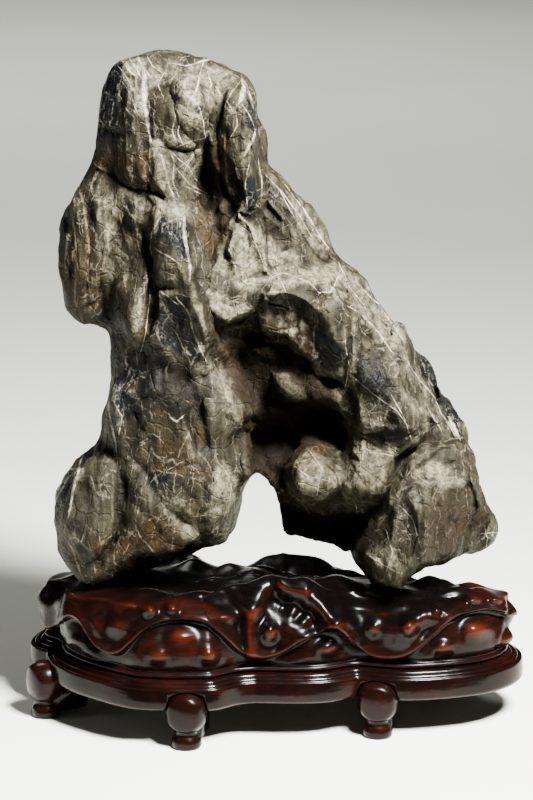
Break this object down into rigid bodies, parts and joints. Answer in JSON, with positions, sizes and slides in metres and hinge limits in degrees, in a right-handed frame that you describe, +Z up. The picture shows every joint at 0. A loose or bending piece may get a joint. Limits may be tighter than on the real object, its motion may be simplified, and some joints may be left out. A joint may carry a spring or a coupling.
{
  "type": "scholar's rock on a carved wooden stand",
  "caption": "Weathered dark limestone, arched over two legs, resting in the sockets of a carved, lobed wooden stand with ball feet.",
  "frame": {"origin": "the middle of the bounding box at floor level, under the stand", "axes": "+Z up; +X to the right, +Y to the back, seen from the side where the stone's broad face and the stand's long front look"},
  "size_m": [0.2881, 0.1605, 0.3844],
  "materials": {
    "stone": "weathered grey-black limestone with white veins, dull in the hollows and softly polished on the high places",
    "carved_wood": "oxblood-stained hardwood under a glossy clear polish, almost black in the recesses",
    "plinth_wood": "dark oxblood-stained hardwood, glossy polish",
    "foot_wood": "dark oxblood-stained hardwood, glossy polish"
  },
  "bodies": {
    "root": {"rock": "stone", "stand_body": "carved_wood", "stand_plinth": "plinth_wood", "foot_left_end": "foot_wood", "foot_front_left": "foot_wood", "foot_front_right": "foot_wood", "foot_back_right": "foot_wood", "foot_back_left": "foot_wood"}
  },
  "joints": []
}
